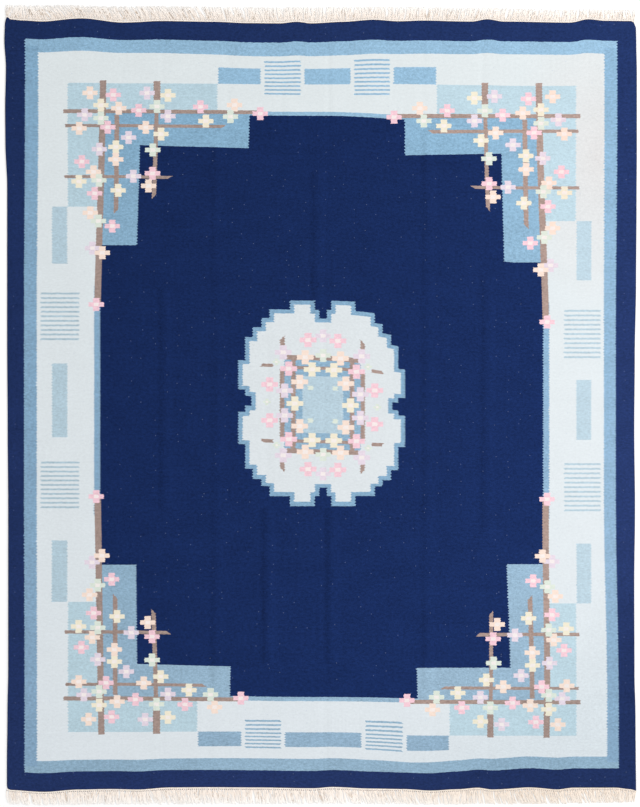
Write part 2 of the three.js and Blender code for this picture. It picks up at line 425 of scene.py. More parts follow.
class Desk:
    """Adds nodes to one tree, of a material or of geometry."""

    def __init__(self, tree: bpy.types.NodeTree) -> None:
        """Starts on a tree."""
        self.tree = tree

    @staticmethod
    def _find(sockets: bpy.types.bpy_prop_collection, key: str | int) -> bpy.types.NodeSocket:
        """Finds a socket.

        Args:
            sockets: A node's inputs or its outputs.
            key: Its number, or its name among those in use.

        Returns:
            The socket.
        """
        if isinstance(key, int):
            return sockets[key]
        return next(s for s in sockets if s.enabled and s.name == key)

    def node(self, kind: str, settings: Given = None, values: Given = None) -> bpy.types.Node:
        """Adds one node.

        Args:
            kind: The node's type.
            settings: The node's own properties, which are set first.
            values: For each input by name or number, a value or the wire that feeds it.

        Returns:
            The node.
        """
        made = self.tree.nodes.new(kind)
        for name, value in (settings or {}).items():
            setattr(made, name, value)
        for key, value in (values or {}).items():
            socket = self._find(made.inputs, key)
            if isinstance(value, Wire):
                self.tree.links.new(value.socket, socket)
            else:
                socket.default_value = value
        return made

    def wire(self, node: bpy.types.Node, output: str | int = 0) -> Wire:
        """One output of a node, by name or number."""
        return Wire(self, self._find(node.outputs, output))

    def result(self, kind: str, settings: Given = None, values: Given = None, output: str | int = 0) -> Wire:
        """Adds a node as node does, and gives one output of it."""
        return self.wire(self.node(kind, settings, values), output)

    def maths(self, operation: str, *values: Wire | Number) -> Wire:
        """The result of a Math node on its inputs in order."""
        return self.result("ShaderNodeMath", {"operation": operation}, dict(enumerate(values)))

    def mixed(self, share: Wire | Number, under: Wire | Colour, over: Wire | Colour) -> Wire:
        """Two colours mixed, where share is how much of the upper one shows, from 0 to 1."""
        values = {"Factor": share, "A": under, "B": over}
        return self.result("ShaderNodeMix", {"data_type": "RGBA"}, values, "Result")

    def scaled(self, colour: Wire, factor: Wire | Number) -> Wire:
        """A colour or vector made longer or shorter."""
        values = {0: colour, "Scale": factor}
        return self.result("ShaderNodeVectorMath", {"operation": "SCALE"}, values, "Vector")

    def vector(self, x: Wire | Number, y: Wire | Number, z: Wire | Number = 0.0) -> Wire:
        """A vector from its three values."""
        return self.result("ShaderNodeCombineXYZ", None, {0: x, 1: y, 2: z})

    def parts(self, vector: Wire) -> tuple[Wire, Wire, Wire]:
        """The three values of a vector."""
        node = self.node("ShaderNodeSeparateXYZ", values={0: vector})
        return self.wire(node, 0), self.wire(node, 1), self.wire(node, 2)

    def noise(self, place: Wire, scale: Number = 1.0, detail: Number = 2.0) -> Wire:
        """Smooth noise from about 0 to 1, with so many waves in one unit and so many finer layers."""
        return self.result("ShaderNodeTexNoise", None, {"Vector": place, "Scale": scale, "Detail": detail})

    def ramp(self, value: Wire, low: float, high: float, kind: str = "LINEAR") -> Wire:
        """A rise from 0 at low to 1 at high, by one of Map Range's kinds."""
        values = {"Value": value, "From Min": low, "From Max": high}
        return self.result("ShaderNodeMapRange", {"interpolation_type": kind}, values)

    def brightness(self, colour: Wire) -> Wire:
        """How bright a colour is."""
        return self.result("ShaderNodeRGBToBW", None, {"Color": colour})

    def carried(self, name: str, output: str = "Fac") -> Wire:
        """What the mesh carries under a name."""
        return self.result("ShaderNodeAttribute", {"attribute_name": name}, None, output)

    def place(self) -> Wire:
        """The place on the object, in metres."""
        return self.result("ShaderNodeTexCoord", None, None, "Object")


@dataclass(frozen=True)
class Cotton:
    """What every cotton has: matt yarn with a fine relief."""

    name: str
    relief: float
    gloss: float
    roughness: float = 0.95
    bump: float = 0.5

    def started(self) -> tuple[bpy.types.Material, Desk]:
        """An empty material, and the desk for its tree.

        Returns:
            Both.
        """
        made = bpy.data.materials.new(self.name)
        made.use_nodes = True
        made.node_tree.nodes.clear()
        return made, Desk(made.node_tree)

    def ended(self, desk: Desk, colour: Wire, height: Wire) -> None:
        """Adds the shader.

        Args:
            desk: The material's tree.
            colour: Its colour.
            height: Its relief, as a share of the finish's own.
        """
        values = {"Strength": self.bump, "Distance": self.relief, "Height": height}
        normal = desk.result("ShaderNodeBump", None, values)
        values = {"Base Color": colour, "Roughness": self.roughness, "Specular IOR Level": self.gloss}
        shader = desk.result("ShaderNodeBsdfPrincipled", None, {**values, "Normal": normal})
        desk.node("ShaderNodeOutputMaterial", values={"Surface": shader})


@dataclass(frozen=True)
class Weave:
    """The cloth as woven: its size, its counts, and how unevenly it lies.

    Sizes are in metres, and the places and drifts of its unevenness in mm.
    """

    width: float = 2.44
    length: float = 2.966
    thickness: float = 0.004
    warp_count: float = 0.0052  # one count across
    weft_count: float = 0.00425  # one count along
    wave_depth: float = 265  # from an end over which its waves die away
    settled: tuple[float, float] = (350, 1150)  # along, where the middle's drift gives way to the ends'
    shoulder: float = 300  # across
    flank: float = 750  # across
    crease_half: float = 15  # half of its width
    crease_fall: float = 1.6  # how steeply its sides run
    crease_fade: float = 40  # over which its ends run out
    middle: tuple[float, float] = (0.0, -0.0007)  # where its outline's middle lies, in metres

    def _across_drift(self, across: np.ndarray, along: np.ndarray) -> np.ndarray:
        """How far the weave lies to +X of the chart.

        Args:
            across: Places across.
            along: Places along.

        Returns:
            The drifts there.
        """
        off, left = np.abs(across), across < 0
        far, middle, near = (
            np.where(left, read(ACROSS_DRIFTS, column, off), read(ACROSS_DRIFTS, column + 1, off))
            for column in (1, 3, 5)
        )
        inner = middle + risen(*self.settled, along) * (far - middle)
        inner += risen(*self.settled, -along) * (near - middle)
        bow = np.where(left, read(SIDE_BOWS, 1, along, True), -read(SIDE_BOWS, 2, along, True))
        last = ACROSS_DRIFTS[-1][0]
        return inner + np.clip((off - last) / (self.width / 2 / MM - last), 0, 1) * (bow - inner)

    def _along_drift(self, across: np.ndarray, along: np.ndarray) -> np.ndarray:
        """How far the weave lies to +Y of the chart.

        Args:
            across: Places across.
            along: Places along.

        Returns:
            The drifts there.
        """
        off, left, away, far = np.abs(across), across < 0, np.abs(along), along > 0

        def level(rows: Rows, column: int) -> np.ndarray:
            """A column of the far half's drifts, or of the near half's."""
            return np.where(far, read(rows, column, away), read(rows, column + len(rows[0]) // 2, away))

        middle = level(MIDDLE_DRIFTS, 2)
        shoulder = np.where(left, level(MIDDLE_DRIFTS, 1), level(MIDDLE_DRIFTS, 3))
        flank = np.where(left, level(FLANK_DRIFTS, 1), level(FLANK_DRIFTS, 2))
        drift = middle + np.clip(off / self.shoulder, 0, 1) ** 2 * (shoulder - middle)
        drift += np.clip((off - self.shoulder) / (self.flank - self.shoulder), 0, 1) * (flank - shoulder)
        half = self.length / 2 / MM
        for way, waves in ((1, FAR_WAVES), (-1, NEAR_WAVES)):
            share = np.clip(1 - (half - way * along) / self.wave_depth, 0, 1)
            drift += way * share * read(waves, 1, across, True)
        return drift

    def laid(self, across: np.ndarray, along: np.ndarray) -> tuple[np.ndarray, np.ndarray]:
        """Where points of the even chart lie on the real cloth.

        Args:
            across: Their places across, in metres.
            along: Their places along, in metres.

        Returns:
            Their X and Y, in metres.
        """
        x = across + self._across_drift(across / MM, along / MM) * MM + self.middle[0]
        y = along + self._along_drift(across / MM, along / MM) * MM + self.middle[1]
        return x, y

    def pressed(self, across: np.ndarray, along: np.ndarray) -> np.ndarray:
        """How deep the folds have pressed the face.

        Args:
            across: Places across, in metres.
            along: Places along, in metres.

        Returns:
            The depth there, in metres.
        """
        depth = np.zeros_like(across)
        fade = self.crease_fade
        for crease in CREASES:
            off, on = (across, along) if crease.upright else (along, across)
            trough = np.exp(-(((off / MM - crease.place) / self.crease_half) ** 2) * self.crease_fall)
            inside = risen(crease.start - fade, crease.start + fade, on / MM)
            inside *= risen(-crease.end - fade, -crease.end + fade, -on / MM)
            depth = np.maximum(depth, trough * inside * crease.depth * MM)
        return depth


@dataclass
class Cloth:
    """The woven sheet, with its selvedges, folds and chart."""

    weave: Weave = field(default_factory=Weave)
    pitch: float = 0.0136
    spared: float = 0.45  # how near a fixed grid line an even one may not come, in pitches
    rim: Rows = (  # how far in from the edge, and the height of the face there in shares of the thickness
        (0.0, 0.5), (0.0011, 0.87), (0.0036, 1.0), (0.009, 1.0), (0.017, 1.0),
    )
    crease_lines: tuple[float, ...] = (-18, -9, 0, 9, 18)
    ripple: float = 0.00035
    ripples: Rows = (  # height, radians for each metre across and along, start
        (1.0, 7.3, 2.1, 0.4), (0.8, 3.7, -9.2, 1.9), (0.6, 17.1, 5.3, 2.6), (0.5, 4.4, 21.7, 0.0),
    )
    margin: float = 1.5  # counts round a blossom that its faces still cover
    name: str = "woven_cloth"

    def _lines(self, length: float, upright: bool) -> np.ndarray:
        """Grid lines over one direction: the rim's, five for each crease, and even steps between.

        Args:
            length: The cloth's size that way.
            upright: Whether the lines run along the rug.

        Returns:
            Their places, in order.
        """
        half = length / 2
        rim = [end * (half - inset) for end in (-1, 1) for inset, _ in self.rim]
        places = [crease.place for crease in CREASES if crease.upright == upright]
        pressed = [(place + step) * MM for place in places for step in self.crease_lines]
        fixed = rim + pressed
        even = np.linspace(-half, half, round(length / self.pitch) + 1)[1:-1]
        free = [line for line in even if min(abs(line - other) for other in fixed) > self.pitch * self.spared]
        return np.array(sorted(fixed + free))

    def _rounded(self, lines: np.ndarray, length: float) -> np.ndarray:
        """How much of the half thickness each grid line has, for the rounded edge."""
        insets, shares = np.array(self.rim).T
        return np.interp(length / 2 - np.abs(lines), insets, 2 * shares - 1)

    def build(self) -> bpy.types.Object:
        """Makes the sheet's mesh with its chart and the blossoms that each face carries.

        Returns:
            The finished object, without its material.
        """
        weave = self.weave
        columns = self._lines(weave.width, True)
        rows = self._lines(weave.length, False)
        across, along = np.meshgrid(columns, rows)
        x, y = weave.laid(across, along)
        share = np.minimum.outer(self._rounded(rows, weave.length), self._rounded(columns, weave.width))
        half = weave.thickness / 2
        swell = self._ripples(across, along) - weave.pressed(across, along)
        front = np.stack([x, y, half + half * share + swell * share], -1).reshape(-1, 3)
        back = np.stack([x, y, half - half * share], -1).reshape(-1, 3)
        inner = np.zeros(across.shape, bool)
        inner[1:-1, 1:-1] = True
        inner = inner.ravel()
        front_at = np.arange(len(front))
        back_at = np.where(inner, len(front) + np.cumsum(inner) - 1, front_at)
        points = np.concatenate([front, back[inner]])
        faces = self._faces(front_at.reshape(across.shape), back_at.reshape(across.shape))
        mesh = bpy.data.meshes.new(self.name)
        mesh.from_pydata(points.tolist(), [], faces.tolist())
        mesh.polygons.foreach_set("use_smooth", np.ones(len(faces), bool))
        self._chart(mesh, across, along, inner)
        self._carry_blossoms(mesh, x, y)
        mesh.update()
        return link(bpy.data.objects.new(self.name, mesh))

    def _ripples(self, across: np.ndarray, along: np.ndarray) -> np.ndarray:
        """A few slow waves of unlike lengths, as in a rug that has just been unfolded."""
        waves = sum(high * np.sin(across * a + along * b + start) for high, a, b, start in self.ripples)
        return waves * self.ripple / sum(high for high, *_ in self.ripples)

    @staticmethod
    def _faces(front: np.ndarray, back: np.ndarray) -> np.ndarray:
        """Quads over the front, and the other way round over the back.

        Args:
            front: The numbers of the front's points on the grid.
            back: The numbers of the back's.

        Returns:
            Each quad's four points.
        """
        up = [front[:-1, :-1], front[:-1, 1:], front[1:, 1:], front[1:, :-1]]
        down = [back[:-1, :-1], back[1:, :-1], back[1:, 1:], back[:-1, 1:]]
        return np.concatenate([np.stack(side, -1).reshape(-1, 4) for side in (up, down)])

    def _chart(self, mesh: bpy.types.Mesh, across: np.ndarray, along: np.ndarray, inner: np.ndarray) -> None:
        """Gives each corner its place on the chart, in counts, as the mesh's own map.

        Args:
            mesh: The sheet's mesh.
            across: Its grid's places across.
            along: Its grid's places along.
            inner: Which of them have a point of their own on the back.
        """
        flat = np.stack([across / self.weave.warp_count, along / self.weave.weft_count], -1).reshape(-1, 2)
        places = np.concatenate([flat, flat[inner]])
        corners = np.zeros(len(mesh.loops), np.int32)
        mesh.loops.foreach_get("vertex_index", corners)
        chart = mesh.uv_layers.new(name="chart")
        chart.data.foreach_set("uv", places[corners].astype(np.float32).ravel())

    def _carry_blossoms(self, mesh: bpy.types.Mesh, x: np.ndarray, y: np.ndarray) -> None:
        """Writes on each face the blossoms that reach it, the uppermost first.

        Args:
            mesh: The sheet's mesh.
            x: The X of its grid.
            y: The Y of its grid.
        """
        corners = [(slice(a, a - 1 or None), slice(b, b - 1 or None)) for a in (0, 1) for b in (0, 1)]
        spans = [(np.min([g[c] for c in corners], 0), np.max([g[c] for c in corners], 0)) for g in (x, y)]
        shape = spans[0][0].shape
        places = np.full((BLOSSOM_LAYERS, *shape, 3), (9.0, 9.0, 1.0))  # far off, where there is none
        dyes = np.zeros((BLOSSOM_LAYERS, *shape, 4))
        filled = np.zeros(shape, int)
        counts = (self.weave.warp_count, self.weave.weft_count)
        blossoms, charted = self._all_blossoms()
        laid = self.weave.laid(charted[:, 0] * counts[0], charted[:, 1] * counts[1])
        for blossom, *place in reversed(list(zip(blossoms, *laid))):
            reached = np.ones(shape, bool)
            for (low, high), at, petal, count in zip(spans, place, PETAL_REACH, counts):
                reach = (petal * blossom.size + self.margin) * count
                reached &= (high > at - reach) & (low < at + reach)
            for layer in range(BLOSSOM_LAYERS):
                here = reached & (filled == layer)
                places[layer][here] = (*place, blossom.size)
                dyes[layer][here] = blossom.dye.lots[0]
            filled[reached] += 1
        LOG.info("most blossoms on one face: %d", filled.max())
        kinds = (("blossom", "FLOAT_VECTOR", "vector", places), ("petals", "FLOAT_COLOR", "color", dyes))
        for layer in range(BLOSSOM_LAYERS):
            for name, kind, part, values in kinds:
                both = np.concatenate([values[layer].reshape(-1, values.shape[-1])] * 2)
                kept = mesh.attributes.new(f"{name}_{layer}", kind, "FACE")
                kept.data.foreach_set(part, both.astype(np.float32).ravel())

    @staticmethod
    def _all_blossoms() -> tuple[list[Blossom], np.ndarray]:
        """Every blossom of all four quarters.

        Returns:
            The blossoms, and the place of each on the chart, in counts.
        """
        blossoms, charted = [], []
        for table, drop, lean in ((CORNER_BLOSSOMS, 0, 0), (MIDDLE_BLOSSOMS, LATTICE_DROP, LATTICE_LEAN)):
            for blossom in table:
                for x in sorted({blossom.across, -blossom.across}):
                    for y in sorted({blossom.along, -blossom.along}):
                        blossoms.append(blossom)
                        charted.append((x, y - drop - x * lean))
        return blossoms, np.array(charted)


@dataclass(frozen=True)
class Spot:
    """A place on the even chart in the cloth's material, in counts."""

    desk: Desk
    weave: Weave
    u: Wire
    v: Wire

    def blotches(self, wide: float, tall: float, detail: float = 2.0) -> Wire:
        """Smooth noise, with so many waves for each count across and along."""
        return self.desk.noise(self.desk.vector(self.u * wide, self.v * tall), 1.0, detail)


@dataclass(frozen=True)
class Quarter:
    """A place folded into one quarter of the chart, in counts from its middle, and what is woven there."""

    desk: Desk
    across: Wire
    along: Wire
    near: Wire  # the place along the whole rug, from 0 at the far end to 1 at the near one

    def lots(self, dye: Dye) -> Wire | Colour:
        """A dye's one lot, or its two lots mixed by the place."""
        far, near = dye.lots
        return far if far == near else self.desk.mixed(self.near, far, near)

    def dyed(self, mask: Wire, colour: Wire, dye: Dye) -> Wire:
        """The colour so far, with a dye over it where a mask holds."""
        return self.desk.mixed(mask, colour, self.lots(dye))

    def inside(self, block: Patch | Ribs) -> Wire:
        """A mask of one rectangle."""
        return self.across.between(*block.across) & self.along.between(*block.along)

    def patches(self, patches: tuple[Patch, ...], colour: Wire) -> Wire:
        """Weaves plain rectangles.

        Args:
            patches: The rectangles, the lowest first.
            colour: What lies under them.

        Returns:
            The colour with them.
        """
        for patch in patches:
            colour = self.dyed(self.inside(patch), colour, patch.dye)
        return colour

    def branches(self, branches: tuple[Branch, ...], colour: Wire) -> Wire:
        """Weaves straight brown branches.

        Args:
            branches: The branches.
            colour: What lies under them.

        Returns:
            The colour with them.
        """
        for branch in branches:
            run, off = (self.along, self.across) if branch.upright else (self.across, self.along)
            start, end = branch.ends
            middle = branch.place
            if branch.drift:
                off = off + run * branch.drift
                middle += end * branch.drift
            line = off.between(middle - branch.half, middle + branch.half)
            slanted = run + (off - middle) * branch.slope
            if branch.cut is Cut.INNER:
                long = (slanted > start) & (run < end)
            elif branch.cut is Cut.OUTER:
                long = (run > start) & (slanted < end)
            else:
                long = run.between(start, end)
            colour = self.dyed(line & long, colour, Dye.BROWN)
        return colour

    @staticmethod
    def _stepped(distance: Wire, steps: Rows, last: float) -> Wire:
        """A width that changes in steps with a distance.

        Args:
            distance: The distance.
            steps: Up to each distance, the width.
            last: The width past the last step.

        Returns:
            The width there.
        """
        widths = [width for _, width in steps] + [last]
        total = widths[0]
        for (limit, width), after in zip(steps, widths[1:]):
            total = (distance > limit) * (after - width) + total
        return total

    def stepped_shape(self, band: tuple[float, float]) -> Wire:
        """A mask of the medallion.

        Args:
            band: How far it is drawn in from its outline, across and along.

        Returns:
            The mask.
        """
        outer = []
        widths = [width for _, width in OUTLINE_STEPS] + [0]
        for (limit, width), after in zip(OUTLINE_STEPS, widths[1:]):
            moved = limit + band[1] if after > width else limit - band[1]
            outer.append((moved, width - band[0]))
        notch = [(limit - band[1], width + band[0] if width else 0) for limit, width in NOTCH_STEPS]
        within = self.across < self._stepped(self.along, outer, -1)
        beyond = self.across > self._stepped(self.along, notch, notch[-1][1]) - 0.001
        return within & beyond


@dataclass(frozen=True)
class WovenFinish(Cotton):
    """The cloth's dyed cotton: the chart's colours, uneven dye, painted light to the right, painted shade at
    the near right corner and along old folds, a warm patch, lint, and the ribs of the weave.
    """

    name: str = "dyed_cotton"
    relief: float = 0.0004
    gloss: float = 0.05
    tooth_step: float = 1.25  # counts along from a tooth's tip to its root, at an upright colour edge
    tooth: float = 2.2  # counts across, for the longest teeth
    sway: float = 0.9  # counts across, of an upright colour edge
    wander: float = 0.9  # counts along, of a level colour edge
    strays: tuple[float, float] = (0.5, 0.7)  # the share of both that a blossom's edge has, across and along
    rib_pitch: float = 0.87  # counts across from one warp to the next
    pick_pitch: float = 0.36  # counts along from one weft to the next
    heart: float = 0.85
    # the old folds' painted shade and highlight: half width, strength and the highlight's offset
    fold_half: float = 0.017
    painted_fold_shade: float = 0.16
    highlight_off: float = 2.2  # how many half widths to the right of a fold's painted dark line its painted highlight lies
    fade: tuple[float, float, float] = (0.60, 0.48, 0.44)  # painted light towards the right, in red, green and blue
    painted_light_even: float = 0.75  # the brightness that the painted light neither raises nor lowers
    shaded: tuple[float, float] = (1.15, 1.38)  # the near right corner's painted shade: where it starts and is full
    patch_at: tuple[float, float] = (1.07, 0.98)  # the warm patch on the pale ground, in metres
    patch_takes: tuple[float, float, float] = (0.02, 0.09, 0.11)  # of red, green and blue
    unevenness: Rows = (  # waves for each count across and along, finer layers, strength
        (0.012, 0.33, 3.0, 0.16), (0.05, 0.05, 3.0, 0.30), (0.4, 0.5, 2.0, 0.8), (0.9, 1.1, 2.0, 0.8),
    )
    lint_cells: float = 22.0
    lint_size: float = 0.035
    lint_bare: float = 0.72  # the share of cells without any
    lint_shows: float = 0.28
    lint: tuple[int, int, int] = (150, 165, 200)
    dark_edge: float = 0.5  # counts
    edge: tuple[int, int, int] = (30, 34, 60)

    def build(self, weave: Weave) -> bpy.types.Material:
        """Makes the material.

        Args:
            weave: The cloth that it is for.

        Returns:
            The material.
        """
        made, desk = self.started()
        u, v, _ = desk.parts(desk.result("ShaderNodeUVMap", {"uv_map": "chart"}))
        spot = Spot(desk, weave, u, v)
        worn = spot.blotches(0.11, 0.34)
        loose = spot.blotches(0.3, 0.9)
        tooth = ((v + loose * 1.6).to_and_fro(self.tooth_step) / self.tooth_step - 0.5) * worn * self.tooth
        across = u + tooth + (worn - 0.5) * self.sway
        along = v + (spot.blotches(0.42, 0.2) - 0.5) * self.wander
        near = 0.5 - v * (weave.weft_count / weave.length)
        quarter = Quarter(desk, abs(across), abs(along), near)
        colour = self._medallion(quarter, across, along, self._ground(quarter, along))
        colour = Quarter(desk, abs((u + across) * 0.5), abs(along), near).branches(BRANCHES, colour)
        x, y, _ = desk.parts(desk.place())
        off = x * (1 / weave.warp_count) + (across - u) * self.strays[0]
        up = y * (1 / weave.weft_count) + (along - v) * self.strays[1]
        colour = self._blossoms(spot, off, up, colour)
        # painted light to the right, painted shade at the near right corner, and the warm patch
        colour = self._painted_light_and_warm_patch(spot, near, colour)
        # the uneven dye, with the old folds' painted shade and highlight
        colour = self._uneven(spot, self._painted_fold_shading(desk, x, y), colour)
        ribs = (u * (TURN / self.rib_pitch)).sine()
        picks = ((v * 2 + u.to_and_fro(self.rib_pitch / 2) * 0.8) * (math.pi / self.pick_pitch)).sine()
        height = ribs * 0.5 + picks * 0.3 + desk.noise(desk.vector(u, v), 0.8, 3.0) * 0.8
        self.ended(desk, self._linted(spot, colour), height)
        return made

    @staticmethod
    def _ground(quarter: Quarter, along: Wire) -> Wire:
        """The plain areas, bars and blocks of stripes.

        Args:
            quarter: The place, folded.
            along: Its place along, not folded.

        Returns:
            Their colour.
        """
        colour = quarter.patches(GROUND, quarter.lots(Dye.BORDER_NAVY))
        for ribs, there in ((SIDE_RIBS, None), (FAR_RIBS, along > 0), (NEAR_RIBS, along < 0)):
            step = (ribs.along[1] - ribs.along[0] - ribs.thick) / (ribs.stripes - 1)
            mask = quarter.inside(ribs) & (((quarter.along - ribs.along[0]) % step) < ribs.thick)
            colour = quarter.dyed(mask & there if there else mask, colour, ribs.dye)
        return colour

    @staticmethod
    def _medallion(quarter: Quarter, across: Wire, along: Wire, colour: Wire) -> Wire:
        """The stepped medallion, its lattice of twigs and its light middle.

        Args:
            quarter: The place, folded.
            across: Its place across, not folded.
            along: Its place along, not folded.
            colour: What lies under it.

        Returns:
            The colour with it.
        """
        for band, dye in (((0, 0), Dye.OUTLINE_BLUE), (OUTLINE_BAND, Dye.PALE)):
            colour = quarter.dyed(quarter.stepped_shape(band), colour, dye)
        dropped = abs(along + LATTICE_DROP + across * LATTICE_LEAN)
        inner = Quarter(quarter.desk, quarter.across, dropped, quarter.near)
        return inner.branches(TWIGS, inner.patches((RING, POOL, POOL_CORNERS, *LATTICE), colour))

    def _painted_fold_shading(self, desk: Desk, x: Wire, y: Wire) -> Wire:
        """Painted shade and painted highlight along the old folds: a darker line, and a lighter one to its
        right.

        Args:
            desk: The material's tree.
            x: The X of the place, in metres.
            y: Its Y.

        Returns:
            The painted shade and highlight, below 0 where it is darker.
        """
        total = 0.0
        for place, start, end, strength in PAINTED_FOLD_LINES:
            off = (x - place * MM) * (1 / self.fold_half)
            # the dark line is painted shade and the light one a painted highlight
            dark = (1 - abs(off)).at_least(0)
            light = (1 - abs(off - self.highlight_off) * 0.7).at_least(0)
            total = total + (light * 0.5 - dark) * y.between(start * MM, end * MM) * strength
        return total * self.painted_fold_shade

    def _blossoms(self, spot: Spot, across: Wire, along: Wire, colour: Wire) -> Wire:
        """The blossoms, from the lowest layer to the uppermost.

        Args:
            spot: The place.
            across: How far across the cloth as laid it is, in counts, with the colour edges' straying.
            along: The same along it.
            colour: What lies under them.

        Returns:
            The colour with them.
        """
        desk, weave = spot.desk, spot.weave
        for layer in reversed(range(BLOSSOM_LAYERS)):
            x, y, size = desk.parts(desk.carried(f"blossom_{layer}", "Vector"))
            dx = abs(across - x * (1 / weave.warp_count)) / size
            dy = abs(along - y * (1 / weave.weft_count)) / size
            level = (dx < PETAL_REACH[0]) & (dy < PETAL_HALF[1])
            upright = (dx < PETAL_HALF[0]) & (dy < PETAL_REACH[1])
            colour = desk.mixed(level | upright, colour, desk.carried(f"petals_{layer}", "Color"))
            heart = (dx < HEART_HALF[0]) & (dy < HEART_HALF[1])
            colour = desk.mixed(heart * self.heart, colour, Dye.HEART.lots[0])
        return colour

    def _painted_light_and_warm_patch(self, spot: Spot, near: Wire, colour: Wire) -> Wire:
        """Painted light and shade: dark dyes painted lighter towards the right and pale ones darker, and
        painted shade at the near right corner; also the warm patch at the far right.

        Args:
            spot: The place.
            near: Its place along, from 0 at the far end to 1 at the near one.
            colour: The colour without the painted light and shade.

        Returns:
            The colour with the painted light and shade and the warm patch.
        """
        desk, weave = spot.desk, spot.weave
        side = spot.u * (weave.warp_count / weave.width) + 0.5
        light = desk.brightness(colour)
        # painted shade at the near right corner, strongest on dark dyes
        shade = desk.ramp(near + side * 0.5, *self.shaded, "SMOOTHSTEP") * (0.92 - light * 1.5).at_least(0.2)
        # painted light: dark dyes lighter to the right, pale ones darker
        fade = side * (self.painted_light_even - light - shade)
        out = (spot.u * weave.warp_count - self.patch_at[0]) * 1.6
        up = spot.v * weave.weft_count - self.patch_at[1]
        warm = (1 - ((out * out + up * up) ** 0.5) * 1.8).at_least(0) * (light > 0.55) * 1.05
        shares = (fade * much + (1 - warm * taken) for much, taken in zip(self.fade, self.patch_takes))
        values = {0: colour, 1: desk.vector(*shares)}
        return desk.result("ShaderNodeVectorMath", {"operation": "MULTIPLY"}, values, "Vector")

    def _uneven(self, spot: Spot, folds: Wire, colour: Wire) -> Wire:
        """Uneven dye in bands of weft, slow mottling and grain, with the old folds' painted shade and
        highlight, which show most on dark dyes.

        Args:
            spot: The place.
            folds: The painted shade and highlight of the old folds.
            colour: The even colour.

        Returns:
            The uneven colour.
        """
        uneven = folds
        for wide, tall, detail, strength in self.unevenness:
            uneven = uneven + (spot.blotches(wide, tall, detail) - 0.5) * strength
        light = spot.desk.brightness(colour)
        return spot.desk.scaled(colour, 1 + uneven * (1.05 - light * light * 1.7).at_least(0.14))

    def _linted(self, spot: Spot, colour: Wire) -> Wire:
        """Specks of lint here and there, and the cloth's darker edge.

        Args:
            spot: The place.
            colour: The clean colour.

        Returns:
            The colour with them.
        """
        desk, weave, u, v = spot.desk, spot.weave, spot.u, spot.v
        values = {"Vector": desk.vector(u * weave.warp_count, v * weave.weft_count), "Scale": self.lint_cells}
        cell = desk.node("ShaderNodeTexVoronoi", {"voronoi_dimensions": "2D"}, values)
        rare, _, _ = desk.parts(desk.wire(cell, "Color"))
        lint = (desk.wire(cell, "Distance") < self.lint_size) & (rare > self.lint_bare)
        colour = desk.mixed(lint * self.lint_shows, colour, linear(self.lint))
        half_u, half_v = weave.width / 2 / weave.warp_count, weave.length / 2 / weave.weft_count
        edge = (abs(u) > half_u - self.dark_edge) | (abs(v) > half_v - self.dark_edge)
        return desk.mixed(edge * 0.5, colour, linear(self.edge))


@dataclass(frozen=True)
class YarnFinish(Cotton):
    """The fringe's bare cotton: cream, with painted shade near its root and paler towards the tips partly as
    painted light, painted shadow dashes on a few yarns, and a row of painted shadow dots between the stitches
    near its root.
    """

    name: str = "bare_cotton"
    relief: float = 0.0003
    gloss: float = 0.1
    # the root colour is darker as painted shade; the tip colour is paler partly as painted light
    root: tuple[int, int, int] = (248, 236, 225)
    run: tuple[int, int, int] = (254, 244, 235)
    tip: tuple[int, int, int] = (255, 251, 247)
    shadow_dash: tuple[int, int, int] = (204, 186, 168)  # painted shadow dashes, on a few yarns
    shadow_dash_span: tuple[float, float] = (0.2, 0.85)  # where the painted shadow dashes lie, in shares of a yarn's length
    undashed_share: float = 0.84  # the share of yarns that have no painted shadow dash
    dun: tuple[int, int, int] = (232, 216, 198)  # the darker, warmer colour towards the right of the near end
    dun_span: tuple[float, float] = (0.1, 0.8)
    # a row of painted shadow dots between the twined stitches: their pitch and where they lie
    shadow_dot_pitch: float = 0.0078
    stitches: tuple[float, float] = (0.09, 0.15)  # where the painted shadow dots lie, in shares of a yarn's length
    fibre_waves: float = 900.0
    patch_waves: float = 70.0

    def build(self) -> bpy.types.Material:
        """Makes the material.

        Returns:
            The material, which reads the yarn's share of its length and its shade.
        """
        made, desk = self.started()
        share, shade = desk.carried("share"), desk.carried("shade")
        # painted shade towards the root, and painted light towards the tips
        colour = desk.mixed(desk.maths("MINIMUM", share * 6, 1), linear(self.root), linear(self.run))
        colour = desk.mixed((share * 1.6 - 0.6).at_least(0), colour, linear(self.tip))
        place = desk.place()
        x, y, _ = desk.parts(place)
        far = y > 0
        fibres = desk.noise(place, self.fibre_waves) - 0.5
        patches = desk.noise(place, self.patch_waves)
        # painted shadow dashes on a few yarns, stronger at the far left
        shadow_dashes = (shade > self.undashed_share) & (patches > 0.5) & share.between(*self.shadow_dash_span)
        colour = desk.mixed(shadow_dashes * (0.6 + (x < -0.5) * far * 0.4), colour, linear(self.shadow_dash))
        # painted shadow dots between the twined stitches near the root
        row = ((x + share * 0.04) * (TURN / self.shadow_dot_pitch)).sine() > 0.1
        stitches = share.between(*self.stitches) & row
        # darker at the painted shadow dots, and the far fringe darker, most near its root
        dark = stitches * (0.75 - far * 0.5) + far * (0.075 - share * 0.06)
        colour = desk.scaled(colour, 1.0 - dark + fibres * 0.06 + patches * 0.05)
        # darker and warmer towards the right of the near end
        colour = desk.mixed(desk.ramp(x * (1 - far), *self.dun_span) * 0.45, colour, linear(self.dun))
        self.ended(desk, colour, fibres)
        return made


